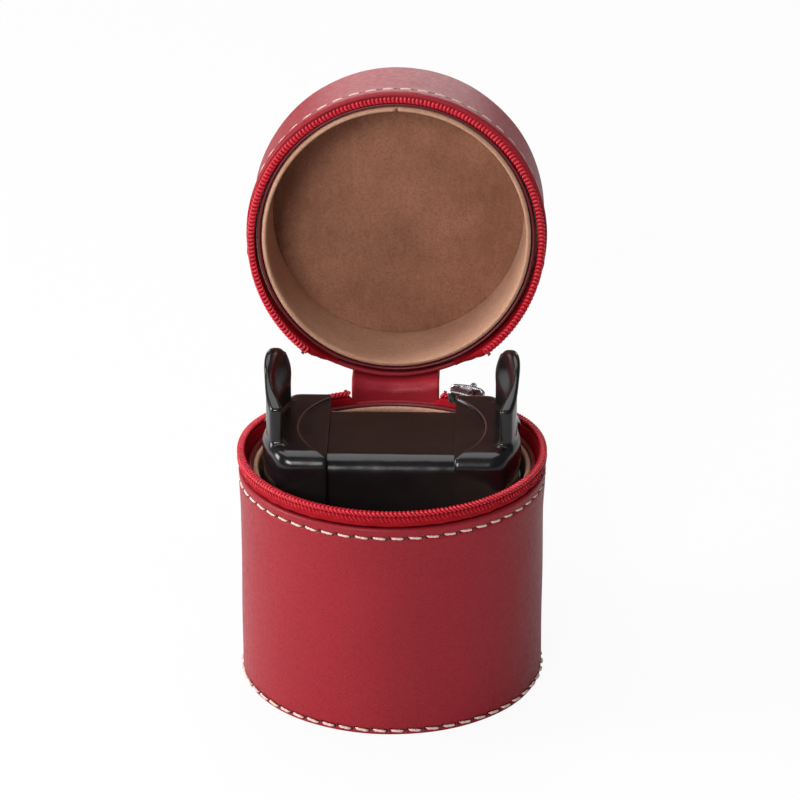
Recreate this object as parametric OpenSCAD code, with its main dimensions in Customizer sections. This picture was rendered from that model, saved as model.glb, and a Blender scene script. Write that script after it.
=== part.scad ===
// Round travel case for one timepiece: a leather-covered drum with a lid that zips round the rim,
// and a black two-shouldered cuff inside that the strap closes round.
// Origin: centre of the underside. +Z up, -Y the front, +Y the hinge side. Millimetres.
// The lid is drawn open, leaning back on its leather hinge.

/* [Case] */
// Radius inside the lining
inner_r = 34; // [33.5:0.25:40]
// Height of the zip's meeting plane above the underside
plane_z = 61.5; // [60:0.5:80]
// Depth of the lid's hollow from the zip's meeting plane
lid_depth = 26.3; // [26.3:0.1:40]
// How far the lid is opened, in degrees
open_angle = 96; // [90:1:100]
// Distance of the base leather's cut edge from the zip's meeting plane
edge_gap = 3.2; // [3.1:0.05:3.6]
// Distance of the lid leather's cut edge from the zip's meeting plane
lid_edge_gap = 3.9; // [3.1:0.05:4.1]

/* [Wall layers] */
// Thickness of the lining sleeve
lining_t = 1.4; // [1:0.1:2]
// Thickness of the stiff board tube where the zip tape lies on it
core_t = 1.45; // [1.2:0.05:2.5]
// Thickness of the zip tape
tape_t = 0.5; // [0.4:0.05:0.7]
// Thickness of the outer leather
leather_t = 1.25; // [1:0.05:1.6]
// Thickness of the leather panel underneath and on the lid
panel_t = 1.2; // [0.8:0.1:2]
// Thickness of the flat boards
board_t = 2; // [1.2:0.1:3]
// Thickness of the suede pads
pad_t = 1.6; // [1:0.1:2.4]

/* [Zip] */
// Width of the tooth row, measured along the radius
coil_w = 2; // [1.8:0.1:2.4]
// Height of one tooth row
coil_h = 1.25; // [1.1:0.05:1.3]
// Angle between the end of the zip and the parked slider, in degrees
park_gap = 2.4; // [2:0.1:6]
// Length of the slider
slider_l = 10; // [8:0.5:10.5]
// Length of the pull tab
tab_l = 25; // [16:1:34]
// Width of the pull tab
tab_w = 6.5; // [6:0.5:9]

/* [Hinge] */
// Half of the hinge strip's width, as an angle in degrees
hinge_half = 17; // [12:0.5:17.5]
// Thickness of the hinge strip
hinge_t = 1.1; // [0.8:0.1:1.3]
// Length of the hinge strip on each half
hinge_l = 16; // [10:1:22]

/* [Stitching] */
// Stitches in one whole row
stitch_count = 54; // [36:2:72]
// Share of each step that the thread fills
stitch_fill = 0.76; // [0.6:0.02:0.84]
// How far the thread stands out of the leather
stitch_out = 0.45; // [0.3:0.05:0.6]
// Width of the thread
stitch_w = 0.65; // [0.4:0.05:0.9]

/* [Cuff] */
// Clearance between the shoulders' round ends and the lining
shoulder_gap = 0.7; // [0.5:0.1:1.2]
// Half of the shoulders' depth, front to back
shoulder_half = 18.6; // [18:0.2:20]
// Height of the shoulders' top above the zip's meeting plane
shoulder_rise = 7.1; // [6.6:0.1:7.6]
// Height of the shoulders' foot above the underside
shoulder_foot = 20; // [16:0.5:24]
// Half of the gap between the shoulders, where the core shows
groove_half = 16; // [14:0.5:17]
// How far each shoulder slides inwards
squeeze = 3; // [2:0.25:3.2]
// Radius of the dish that the case back sits in
dish_r = 23.7; // [20:0.5:24]
// Half of the core's depth, front to back
core_half = 16.3; // [14.5:0.1:16.4]
// Radius of the guide rod
rod_r = 1.5; // [1.2:0.1:1.8]
// Free turns of each spring
spring_turns = 9; // [6:1:12]

/* [Ears] */
// Height of the ears above the shoulders
ear_h = 18.2; // [14:0.2:18.2]
// Thickness of an ear
ear_t = 3; // [2.6:0.1:3.6]
// Distance of an ear's front edge ahead of the middle
ear_front = 12; // [10:0.5:12.5]

/* [Hidden] */
$fn = 96;

skin = 0.05;      // glued layers lie this far apart
run = 0.05;       // radial running clearance of the rod
slide = 0.25;     // clearance of a sliding shell
eps = 0.01;

// radii of the wall's layers, from the inside out
lining_out = inner_r + lining_t;
core_in = lining_out + skin;
tape_in = core_in + core_t + skin;
tape_out = tape_in + tape_t;
wrap_in = tape_out + skin;
wrap_out = wrap_in + leather_t;
tail_l = 9;                    // how deep the zip tape is sewn in, from the meeting plane
coil_lap = 1.2;                // how far the tooth row reaches in over the leather's edge
coil_in = wrap_out - coil_lap;
coil_out = coil_in + coil_w;
row_gap = 0.1;                 // half the gap between the two closed tooth rows
coil_low = row_gap + coil_h;   // where the tape meets the row
facing_rise = 0.3;             // the facing stands above the leather's edge by this much
facing_low = 5;
facing_cut = 0.4;
lining_sink = 0.2;             // the lining stops below the leather's edge by this much
edge_cut = 0.3;                // chamfer of the leather's edges

// heights in the base
board_z = panel_t;
floor_z = board_z + board_t;
pad_top = floor_z + pad_t;
wrap_low = 0.3;                // the wrap's edge clears the surface that the case stands on
rim_row = 2.6;                 // distance of a stitch row from the leather's edge at the zip
panel_row = 1.3;               // distance of a stitch row from the leather's edge at the panel
crown_row = 1.6;               // distance of the lid's upper stitch row from its panel's edge
row_free = 3;                  // angle between the hinge strip and the nearest stitch

// depths in the lid, from the meeting plane
lid_board_d = lid_depth + pad_t;
lid_panel_d = lid_board_d + board_t;
lid_top_d = lid_panel_d + panel_t;
lid_wrap_d = lid_top_d - 0.2;  // the wrap stops just short of the panel's face

// the hinge line lies just outside the strip
hinge_in = wrap_out + skin;
hinge_out = hinge_in + hinge_t;
hinge_play = 0.1;
hinge_y = hinge_out + hinge_play;
hinge_gap = 0.3;

// the zip is sewn round everything but the hinge; angles are from the middle of the hinge
back = 90;
tape_free = 1.5;               // angle between the hinge strip and the end of the zip
tape_start = hinge_half + tape_free;
slider_half = asin(slider_l / 2 / coil_out);
park_angle = tape_start + park_gap + slider_half;
lid_free = 2;                  // angle between the parked slider and the end of the lid's zip
lid_tape_start = park_angle + slider_half + lid_free;
stop_l = 1.2;                  // angle that an end stop covers
stop_in = 0.2;                 // angle between an end stop and the end of the zip
stop_t = 0.25;

// slider, in its own place: x along the radius from the case's axis, y along the rim
plate_gap = 0.3;
plate_t = 1;
plate_half = 2.4;
inner_plate_half = 1.8;
inner_plate_out = coil_in - 0.4;
inner_plate_share = 0.8;       // the inner plate is shorter than the outer one
post_low = 0.2;
post_half = 2.2;               // half of the post's length, as an angle
bar_r = 0.6;
bar_reach = 2.2;               // bail bar's distance from the outer plate
bar_x = coil_out + plate_gap + plate_t + bar_reach;
bar_half = 3.4;
ring_wire = 0.5;
ring_bend = 1.5;
ring_drop = 5;
eyelet_r = 1.3;
eyelet_rim = 0.9;
eyelet_over = 0.2;             // the eyelet is thicker than the tab by this much
hang = 0.55;                   // how far the eyelet's hole stands above the ring's lowest inside point
tab_t = 1.5;
eye_drop = ring_drop + ring_bend - ring_wire + eyelet_r - hang;

// cuff
shoulder_r = inner_r - shoulder_gap;
shoulder_top = plane_z + shoulder_rise;
heel = 3.4;                    // the shoulders reach this much further back than forward
tray_gap = 0.4;
tray_r = inner_r - tray_gap;
tray_floor = 2.6;
ledge_in = groove_half + squeeze;
tray_wall = 2;
shell = 2;
core_top = shoulder_top - shell;
core_low = shoulder_foot + shell + slide;
core_round = 4.5;              // roundings of the core's upper and lower corners
core_foot_round = 12;
edge_round = 4;                // roundings of the shoulders' upper, lower and end edges
foot_round = 1.5;
end_round = 2.5;
dish_depth = 0.8;
cap_inset = 0.4;               // the caps stay inside the shoulders' round ends
cap_out = shoulder_r - cap_inset;
cap_h = 1.2;
cap_seat = cap_out - cap_h;
cap_t = 0.7;
cap_r = 7.6;
cap_fit = 0.1;
clip_t = 0.55;
clip_r = 3.2;
clip_room = 0.55;              // room left between a clip and its cap when squeezed
clip_seat = cap_out - cap_t - squeeze - clip_t - clip_room;
well_r = 5;
end_wall = 1.3;                // wall that a clip bears on
cavity_end = clip_seat - end_wall;
core_play = 0.4;               // room left past the core's end when squeezed
core_end = cavity_end - squeeze - core_play;
core_wall = 1.8;
web_half = 1.5;
rod_drop = 7.6;                // the rod lies this far below the shoulders' top
rod_z = shoulder_top - rod_drop;
rod_over = 0.2;                // the rod's end stands past its clip
rod_end = clip_seat + skin + clip_t + rod_over;
bore_r = rod_r + run;
boss_r = 3.4;
boss_l = 8.4;
boss_start = cavity_end - boss_l;
spring_wire = 0.45;
spring_gap = 0.35;             // room between the rod and the spring
spring_r = rod_r + spring_gap + spring_wire;
spring_room = 0.3;             // room at each end of a spring

// ears: upright pieces of a ring that runs inside the case's wall
ear_inset = 0.8;
ear_out = shoulder_r - ear_inset;
ear_in = ear_out - ear_t;
ear_back = 14.2;               // back edge's distance behind the middle
ear_top = shoulder_top + ear_h;
ear_neck = 8.6;                // height of the part that slopes in and of the round top
ear_step = ear_top - ear_neck;
ear_root = 3;                  // how deep the ear is sunk in the shoulder
lobe_r = 9;                    // round top
lobe_y = 5.2;                  // the round top stands behind the middle
neck_flat = 0.8;               // the stem's outer face is cut flat by this much
neck_step = ear_step + 1;      // height at which the flat face starts to lean out
neck_lean = 6;                 // rise of the leaning face for each mm out
thumb_r = 17.7;                // hollow for a fingertip: it thins the round top towards the front
thumb_y = 1.2;
thumb_drop = 6;
thumb_wall = 1.3;

// ---------- helpers ----------

// a solid of the given section, swept between two angles about the case's axis
module sector(a0, a1) {
    rotate([0, 0, a0]) rotate_extrude(angle = a1 - a0) children();
}

// a section swept round the rim, leaving the same angle free on each side of the hinge
module round_the_rim(free) {
    sector(back + free, back + 360 - free) children();
}

// a plain tube
module tube(r0, r1, z0, z1) {
    translate([0, 0, z0]) difference() {
        cylinder(r = r1, h = z1 - z0);
        translate([0, 0, -1]) cylinder(r = r0, h = z1 - z0 + 2);
    }
}

// children drawn with depths from the meeting plane, put on the base
module on_base_rim() {
    translate([0, 0, plane_z]) mirror([0, 0, 1]) children();
}

// children drawn with depths from the meeting plane, put on the opened lid
module on_lid() {
    translate([0, hinge_y, plane_z]) rotate([-open_angle, 0, 0]) translate([0, -hinge_y, 0])
        children();
}

// section of the maroon facing that closes the wall, given the leather's distance from the plane
module facing_section(gap) {
    facing_top = gap - facing_rise;
    polygon([
        [core_in, facing_low], [core_in, facing_top + facing_cut], [core_in + facing_cut, facing_top],
        [tape_in - skin, facing_top], [tape_in - skin, facing_low]
    ]);
}

// section of the tape: a flat tail under the leather and a bulge that overhangs its edge
module tape_section(gap) {
    fold = 0.2;
    bulge = 0.5;
    polygon([
        [tape_in, tail_l], [tape_out, tail_l], [tape_out, gap - skin],
        [wrap_out + bulge, gap - fold], [coil_out - fold, gap - bulge - fold],
        [coil_out - fold, coil_low + skin], [coil_in + fold, coil_low + skin],
        [coil_in - fold, gap - 2 * bulge], [tape_in, gap - 2 * fold]
    ]);
}

// section of a tooth row
module teeth_section() {
    cut = 0.35;
    polygon([
        [coil_in, row_gap + cut], [coil_in + cut, row_gap], [coil_out - cut, row_gap],
        [coil_out, row_gap + cut], [coil_out, coil_low - cut], [coil_out - cut, coil_low],
        [coil_in + cut, coil_low], [coil_in, coil_low - cut]
    ]);
}

// two metal stops, clamped over the ends of a tooth row
module end_stops(free) {
    for (side = [-1, 1]) {
        middle = back + side * (free + stop_l / 2 + stop_in);
        sector(middle - stop_l / 2, middle + stop_l / 2)
            translate([coil_out + 2 * eps, row_gap]) square([stop_t, coil_h]);
    }
}

// a stitch's section, swept along every stitch of a row
module stitch_ring(free) {
    step = 360 / stitch_count;
    for (i = [0 : stitch_count - 1]) {
        middle = (i + 0.5) * step;
        if (middle > free && middle < 360 - free)
            sector(back + middle - step * stitch_fill / 2, back + middle + step * stitch_fill / 2)
                children();
    }
}

// a row of separate stitches lying on a wrap
module stitch_row(z, free) {
    stitch_ring(free) translate([wrap_out, z - stitch_w / 2]) square([stitch_out, stitch_w]);
}

// outer wrap of leather between two depths
module wrap(z0, z1) {
    rotate_extrude() polygon([
        [wrap_in, z0], [wrap_out - edge_cut, z0], [wrap_out, z0 + edge_cut],
        [wrap_out, z1 - edge_cut], [wrap_out - edge_cut, z1], [wrap_in, z1]
    ]);
}

// board tube between two depths, thinned where the zip tape's tail lies on it
module core_tube(top, low) {
    rotate_extrude() polygon([
        [core_in, top], [tape_in - skin, top], [tape_in - skin, tail_l + skin],
        [wrap_in - skin, tail_l + skin], [wrap_in - skin, low], [core_in, low]
    ]);
}

// hinge strip on one half
module hinge_strip() {
    sector(back - hinge_half, back + hinge_half)
        translate([hinge_in, hinge_gap]) square([hinge_t, hinge_l - hinge_gap]);
}

// ---------- base ----------

module base_leather() {
    color("#a83c46") wrap(wrap_low, plane_z - edge_gap);
}

module base_core() {
    color("#b9a98c") on_base_rim() core_tube(facing_low + skin, plane_z - board_z - skin);
}

module base_bottom_leather() {
    color("#8f343c") cylinder(r = wrap_in - skin, h = panel_t);
}

module base_bottom_board() {
    color("#b9a98c") translate([0, 0, board_z + skin]) cylinder(r = lining_out, h = board_t - skin);
}

module base_lining() {
    color("#b0906c") tube(inner_r, lining_out, pad_top + skin, plane_z - edge_gap - lining_sink);
}

module base_floor_pad() {
    color("#6f4b3a") translate([0, 0, floor_z + skin]) cylinder(r = lining_out, h = pad_t - skin);
}

module base_facing() {
    color("#66202a") on_base_rim() rotate_extrude() facing_section(edge_gap);
}

module base_zip_tape() {
    color("#c22436") on_base_rim() round_the_rim(tape_start) tape_section(edge_gap);
}

module base_zip_teeth() {
    color("#b01e30") on_base_rim() round_the_rim(tape_start) teeth_section();
}

module base_zip_stops() {
    color("#b8b8bc") on_base_rim() end_stops(tape_start);
}

module base_top_stitches() {
    color("#f0e4d8") stitch_row(plane_z - edge_gap - rim_row, hinge_half + row_free);
}

module base_bottom_stitches() {
    color("#f0e4d8") stitch_row(wrap_low + panel_row, 0);
}

module base_hinge_leather() {
    color("#a83c46") on_base_rim() hinge_strip();
}

// tray that stands on the floor pad; its two ledges carry the shoulders
module cuff_tray() {
    color("#1d1416") difference() {
        translate([0, 0, pad_top]) intersection() {
            cylinder(r = tray_r, h = shoulder_foot - pad_top);
            union() {
                cylinder(r = tray_r, h = tray_floor);
                for (side = [-1, 1])
                    translate([side * (ledge_in + tray_r / 2), 0, (shoulder_foot - pad_top) / 2])
                        cube([tray_r, 2 * shoulder_half, shoulder_foot - pad_top], center = true);
            }
        }
        for (side = [-1, 1])
            intersection() {
                translate([0, 0, pad_top - 1])
                    cylinder(r = tray_r - tray_wall, h = shoulder_foot - pad_top + 1 - tray_wall);
                translate([side * (ledge_in + tray_wall + tray_r / 2), 0, pad_top])
                    cube([tray_r, 2 * (shoulder_half - tray_wall), 2 * shoulder_foot], center = true);
            }
    }
}

// ---------- lid ----------

module lid_leather() {
    color("#b8505a") on_lid() wrap(lid_edge_gap, lid_wrap_d);
}

module lid_core() {
    color("#b9a98c") on_lid() core_tube(facing_low + skin, lid_panel_d - skin);
}

module lid_top_leather() {
    color("#a83c46") on_lid() translate([0, 0, lid_panel_d]) cylinder(r = wrap_in - skin, h = panel_t);
}

module lid_top_board() {
    color("#b9a98c") on_lid() translate([0, 0, lid_board_d + skin])
        cylinder(r = lining_out, h = board_t - 2 * skin);
}

module lid_lining() {
    color("#b0906c") on_lid() tube(inner_r, lining_out, lid_edge_gap + lining_sink, lid_depth - skin);
}

module lid_top_pad() {
    color("#6f4b3a") on_lid() translate([0, 0, lid_depth]) cylinder(r = lining_out, h = pad_t);
}

module lid_facing() {
    color("#66202a") on_lid() rotate_extrude() facing_section(lid_edge_gap);
}

module lid_zip_tape() {
    color("#c22436") on_lid() round_the_rim(lid_tape_start) tape_section(lid_edge_gap);
}

module lid_zip_teeth() {
    color("#b01e30") on_lid() round_the_rim(lid_tape_start) teeth_section();
}

module lid_zip_stops() {
    color("#b8b8bc") on_lid() end_stops(lid_tape_start);
}

module lid_edge_stitches() {
    color("#f0e4d8") on_lid() stitch_row(lid_edge_gap + rim_row, hinge_half + row_free);
}

module lid_top_stitches() {
    color("#f0e4d8") on_lid() stitch_ring(0)
        translate([wrap_in - crown_row - stitch_w, lid_top_d]) square([stitch_w, stitch_out]);
}

module lid_hinge_leather() {
    color("#a83c46") on_lid() hinge_strip();
}

// ---------- zip slider and pull ----------

// children drawn with x along the radius and y along the rim, put where the slider is parked
module at_slider() {
    translate([0, 0, plane_z]) rotate([0, 0, back - park_angle]) children();
}

module zip_slider() {
    outer_in = coil_out + plate_gap;
    color("#b8b8bc") at_slider() {
        sector(-slider_half, slider_half)
            translate([outer_in, -plate_half]) square([plate_t, 2 * plate_half]);
        sector(-slider_half * inner_plate_share, slider_half * inner_plate_share)
            translate([inner_plate_out - plate_t, -inner_plate_half])
                square([plate_t, 2 * inner_plate_half]);
        sector(-post_half, post_half)
            translate([inner_plate_out - eps, post_low])
                square([outer_in - inner_plate_out + 2 * eps, inner_plate_half - post_low]);
    }
}

// arch on the slider that the pull ring hangs from
module zip_bail() {
    foot = coil_out + plate_gap + plate_t + 2 * eps;
    color("#c4c4c8") at_slider() {
        translate([bar_x, 0, 0]) rotate([90, 0, 0])
            cylinder(r = bar_r, h = 2 * bar_half, center = true, $fn = 32);
        for (side = [-1, 1])
            translate([foot, side * bar_half - bar_r, -bar_r])
                cube([bar_x + bar_r - foot, 2 * bar_r, 2 * bar_r]);
    }
}

// long wire ring round the bail's bar, hanging straight down
module pull_ring() {
    color("#c4c4c8") at_slider() translate([bar_x, 0, 0]) rotate([90, 0, 0]) {
        for (end = [0, 1])
            translate([0, -end * ring_drop, 0]) rotate([0, 0, end * 180])
                rotate_extrude(angle = 180) translate([ring_bend, 0]) circle(r = ring_wire, $fn = 32);
        for (side = [-1, 1])
            translate([side * ring_bend, 0, 0]) rotate([90, 0, 0])
                cylinder(r = ring_wire, h = ring_drop, $fn = 32);
    }
}

module pull_eyelet() {
    color("#c4c4c8") at_slider() translate([bar_x, 0, -eye_drop]) rotate([0, 90, 0])
        difference() {
            cylinder(r = eyelet_r + eyelet_rim, h = tab_t + eyelet_over, center = true, $fn = 48);
            cylinder(r = eyelet_r, h = tab_t + 2, center = true, $fn = 48);
        }
}

module pull_tab() {
    color("#a83c46") at_slider() translate([bar_x, 0, -eye_drop]) rotate([0, 90, 0])
        linear_extrude(height = tab_t, center = true) difference() {
            union() {
                circle(d = tab_w, $fn = 48);
                translate([0, -tab_w / 2]) square([tab_l - tab_w, tab_w]);
                translate([tab_l - tab_w, 0]) circle(d = tab_w, $fn = 48);
            }
            circle(r = eyelet_r + eyelet_rim + 2 * eps, $fn = 48);
        }
}

// ---------- cuff ----------

// section of a rounded drum: y across, z up, given the radii of its upper and lower corners
module drum_section(half, low, top, r_top, r_low) {
    for (side = [-1, 1]) {
        translate([side * (half - r_top), top - r_top]) circle(r = r_top);
        translate([side * (half - r_low), low + r_low]) circle(r = r_low);
    }
    translate([-half + r_top, top - r_top - eps]) square([2 * (half - r_top), r_top + eps]);
    translate([-half + r_low, low]) square([2 * (half - r_low), r_low + eps]);
    translate([-half, low + r_low]) square([2 * half, top - r_top - low - r_low]);
}

// a section drawn in the y-z plane, run along x
module along_x(x0, x1) {
    translate([x0, 0, 0]) rotate([90, 0, 90]) linear_extrude(height = x1 - x0) children();
}

// hollow drum that the strap closes round, with a web in the middle that holds the rod
module cuff_core() {
    color("#1a1213") difference() {
        along_x(-core_end, core_end)
            drum_section(core_half, core_low, core_top, core_round, core_foot_round);
        for (side = [-1, 1])
            along_x(side > 0 ? web_half : -core_end - 1, side > 0 ? core_end + 1 : -web_half)
                drum_section(core_half - core_wall, core_low + core_wall, core_top - core_wall,
                    core_round - core_wall, core_foot_round - core_wall);
        translate([0, 0, rod_z]) rotate([0, 90, 0])
            cylinder(r = rod_r + eps, h = 4 * web_half, center = true, $fn = 48);
    }
}

module guide_rod() {
    color("#b8b8bc") translate([0, 0, rod_z]) rotate([0, 90, 0])
        cylinder(r = rod_r, h = 2 * rod_end, center = true, $fn = 48);
}

module rod_clips() {
    color("#8e8e92") for (side = [-1, 1])
        translate([side * (clip_seat + skin + clip_t / 2), 0, rod_z]) rotate([0, 90, 0])
            difference() {
                cylinder(r = clip_r, h = clip_t, center = true, $fn = 48);
                cylinder(r = rod_r + eps, h = 2, center = true, $fn = 48);
            }
}

// points on one ring of the spring's wire
function coil_ring(a, rise, sides) = [
    for (k = [0 : sides - 1])
        let (b = 360 * k / sides, r = spring_r + spring_wire * cos(b))
            [r * cos(a), r * sin(a), rise + spring_wire * sin(b)]
];

// compression spring: one wire wound evenly between the web and a shoulder's boss
module spring() {
    steps = 10;
    sides = 6;
    start = web_half + spring_wire + spring_room;
    reach = boss_start - spring_wire - spring_room - start;
    rings = spring_turns * steps;
    points = [
        for (i = [0 : rings]) each coil_ring(i * 360 / steps, start + reach * i / rings, sides)
    ];
    faces = [
        [for (k = [0 : sides - 1]) k],
        [for (k = [0 : sides - 1]) rings * sides + sides - 1 - k],
        for (i = [0 : rings - 1]) for (k = [0 : sides - 1])
            [i * sides + k, (i + 1) * sides + k, (i + 1) * sides + (k + 1) % sides],
        for (i = [0 : rings - 1]) for (k = [0 : sides - 1])
            [i * sides + k, (i + 1) * sides + (k + 1) % sides, i * sides + (k + 1) % sides]
    ];
    polyhedron(points = points, faces = faces);
}

module spring_left() {
    color("#9a9a9e") translate([0, 0, rod_z]) rotate([0, -90, 0]) spring();
}

module spring_right() {
    color("#9a9a9e") translate([0, 0, rod_z]) rotate([0, 90, 0]) spring();
}

// outline of an ear from the side: a straight stem, sloped at the front, and a round top
module ear_outline() {
    lobe_z = ear_top - lobe_r;
    slope_y = lobe_r * 0.8;
    slope_z = lobe_z + lobe_r * 0.6;
    root_z = shoulder_top - ear_root;
    polygon([
        [-ear_front, root_z], [-ear_front, ear_step], [lobe_y - slope_y, slope_z],
        [lobe_y + slope_y, slope_z], [ear_back, ear_step], [ear_back, root_z]
    ]);
    translate([lobe_y, lobe_z]) circle(r = lobe_r);
}

// finger ear: an upright piece of a ring, flat outside its stem and hollowed on its inner face
module ear() {
    difference() {
        intersection() {
            along_x(0, shoulder_r) ear_outline();
            tube(ear_in, ear_out, shoulder_top - ear_root, ear_top + 1);
        }
        rotate([90, 0, 0]) linear_extrude(height = 2 * ear_front, center = true) polygon([
            [ear_out - neck_flat, shoulder_top - ear_root], [ear_out - neck_flat, neck_step],
            [shoulder_r, neck_step + neck_lean * (shoulder_r - ear_out + neck_flat)],
            [shoulder_r, shoulder_top - ear_root]
        ]);
        translate([ear_out - thumb_wall - thumb_r, thumb_y, ear_top - thumb_drop]) sphere(r = thumb_r);
    }
}

// outline of a shoulder's round end, with its upper edge rounded
module shoulder_end() {
    body_h = shoulder_top - shoulder_foot;
    translate([0, shoulder_foot]) square([shoulder_r, body_h - end_round]);
    translate([0, shoulder_foot]) square([shoulder_r - end_round, body_h]);
    translate([shoulder_r - end_round, shoulder_top - end_round]) circle(r = end_round);
}

// right-hand shoulder: a shell that slides on the core's end, with its ear
module shoulder() {
    difference() {
        union() {
            intersection() {
                along_x(groove_half, shoulder_r + 1) translate([heel / 2, 0])
                    drum_section(shoulder_half + heel / 2, shoulder_foot, shoulder_top,
                        edge_round, foot_round);
                rotate_extrude() shoulder_end();
            }
            ear();
        }
        difference() {
            along_x(groove_half - 1, cavity_end)
                drum_section(core_half + slide, core_low - slide, core_top + slide,
                    core_round + slide, core_foot_round + slide);
            translate([boss_start, 0, rod_z]) rotate([0, 90, 0])
                cylinder(r = boss_r, h = shoulder_r, $fn = 48);
        }
        translate([0, 0, rod_z]) rotate([0, 90, 0]) {
            cylinder(r = bore_r, h = shoulder_r + 1, $fn = 48);
            translate([0, 0, clip_seat]) cylinder(r = well_r, h = shoulder_r, $fn = 48);
            translate([0, 0, cap_seat]) cylinder(r = cap_r + cap_fit, h = shoulder_r);
        }
        translate([0, 0, shoulder_top - dish_depth]) cylinder(r = dish_r, h = ear_h + dish_depth + 1);
    }
}

module shoulder_right() {
    color("#1d1416") shoulder();
}

module shoulder_left() {
    color("#1d1416") mirror([1, 0, 0]) shoulder();
}

// domed cap that closes the well round the rod's end
module rod_cap() {
    dome_h = cap_out - cap_seat;
    dome_r = (cap_r * cap_r + dome_h * dome_h) / (2 * dome_h);
    translate([cap_seat + 2 * eps, 0, rod_z]) rotate([0, 90, 0]) rotate_extrude() difference() {
        intersection() {
            square([cap_r, dome_h]);
            translate([0, dome_h - dome_r]) circle(r = dome_r, $fn = 720);
        }
        translate([-1, -1]) square([well_r + 1, 1 + dome_h - cap_t]);
    }
}

module rod_cap_right() {
    color("#241a1c") rod_cap();
}

module rod_cap_left() {
    color("#241a1c") mirror([1, 0, 0]) rod_cap();
}

base_leather();
base_core();
base_bottom_leather();
base_bottom_board();
base_lining();
base_floor_pad();
base_facing();
base_zip_tape();
base_zip_teeth();
base_zip_stops();
base_top_stitches();
base_bottom_stitches();
base_hinge_leather();
cuff_tray();
lid_leather();
lid_core();
lid_top_leather();
lid_top_board();
lid_lining();
lid_top_pad();
lid_facing();
lid_zip_tape();
lid_zip_teeth();
lid_zip_stops();
lid_edge_stitches();
lid_top_stitches();
lid_hinge_leather();
zip_slider();
zip_bail();
pull_ring();
pull_eyelet();
pull_tab();
cuff_core();
guide_rod();
rod_clips();
spring_left();
spring_right();
shoulder_left();
shoulder_right();
rod_cap_left();
rod_cap_right();
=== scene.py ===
"""Round leather travel case with its zip-round lid open on its hinge, and a two-shouldered cuff standing inside.

Sizes are written in millimetres and turned into metres when a mesh is made. The row frame has its origin under
the middle of the case, +Z up and -Y the front.
"""

import math

import bpy
import numpy as np
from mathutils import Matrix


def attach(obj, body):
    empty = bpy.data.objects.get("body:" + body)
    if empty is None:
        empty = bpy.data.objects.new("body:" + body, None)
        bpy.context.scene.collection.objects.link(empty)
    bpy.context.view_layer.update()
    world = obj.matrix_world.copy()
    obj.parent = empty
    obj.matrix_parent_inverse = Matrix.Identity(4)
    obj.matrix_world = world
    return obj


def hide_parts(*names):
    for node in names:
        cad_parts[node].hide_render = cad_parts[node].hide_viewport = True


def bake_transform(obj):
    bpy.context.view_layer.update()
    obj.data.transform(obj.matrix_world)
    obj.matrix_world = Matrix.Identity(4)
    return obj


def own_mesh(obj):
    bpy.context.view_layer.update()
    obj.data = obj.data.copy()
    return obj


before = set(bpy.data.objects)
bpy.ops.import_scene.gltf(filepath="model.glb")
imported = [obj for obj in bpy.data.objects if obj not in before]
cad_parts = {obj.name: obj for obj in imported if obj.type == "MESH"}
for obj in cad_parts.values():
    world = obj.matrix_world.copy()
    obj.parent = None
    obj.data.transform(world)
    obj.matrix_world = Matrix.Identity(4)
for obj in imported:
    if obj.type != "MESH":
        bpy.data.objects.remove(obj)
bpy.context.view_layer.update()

# ---------------------------------------------------------------- camera
# Long lens from the front, raised, a little to the right, looking down into the open case.
camera_at = (0.0247, -0.9987, 0.531)
camera_pitch = 24.5
camera_turn = 1.3
camera_lens = 194.8


def new_object(name, data):
    """An object at the origin, linked to the scene."""
    made = bpy.data.objects.new(name, data)
    bpy.context.scene.collection.objects.link(made)
    return made


camera = new_object("camera", bpy.data.cameras.new("camera"))
camera.data.sensor_width = 36
camera.data.lens = camera_lens
camera.data.clip_start, camera.data.clip_end = 0.05, 20
camera.location = camera_at
camera.rotation_euler = (math.radians(90 - camera_pitch), 0, math.radians(camera_turn))
bpy.context.scene.camera = camera

# ---------------------------------------------------------------- base: leather wrap
# Fine-grained red leather glued round the board drum, about 1.25 mm thick, its edges turned and pressed.
# A tube whose radius is dented along the two stitch rows and at every stitch hole.
plane_z = 61.5
wrap_in, wrap_out = 37.5, 38.75
base_gap, base_far = 3.2, 61.2
rim_row, panel_row = 2.6, 1.3
stitches, stitch_fill, stitch_slant = 54, 0.76, 0.16
# hole_dark and shadow_dark are the strengths of the painted shade in the stitch holes and under the stitches.
hole_r, hole_deep, hole_dark = 0.40, 0.42, 1.25
bed_r, bed_deep, bed_press = 0.75, 0.12, 0.10
shadow_r, shadow_dark = 0.42, 0.45
row_free = 20.0
leather_red, leather_deep = (0.31, 0.015, 0.025, 1), (0.22, 0.009, 0.016, 1)


def ease(x, low, high):
    """0 below low, 1 above high and a smooth rise between."""
    s = np.clip((x - low) / (high - low), 0, 1)
    return s * s * (3 - 2 * s)


def from_hinge(t):
    """Degrees between angle t and the hinge's middle, either way round."""
    return 180 - np.abs(np.degrees(t) - 180)


def full_turn(n):
    """Evenly spaced angles, n of them, that go once round."""
    return np.linspace(0, 2 * math.pi, n, endpoint=False)


def at_base(t, r, d):
    """Metres of the point at angle t from the hinge's middle, radius r and depth d below the meeting plane."""
    return np.stack(np.broadcast_arrays(-r * np.sin(t), r * np.cos(t), plane_z - d), -1) * 0.001


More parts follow.
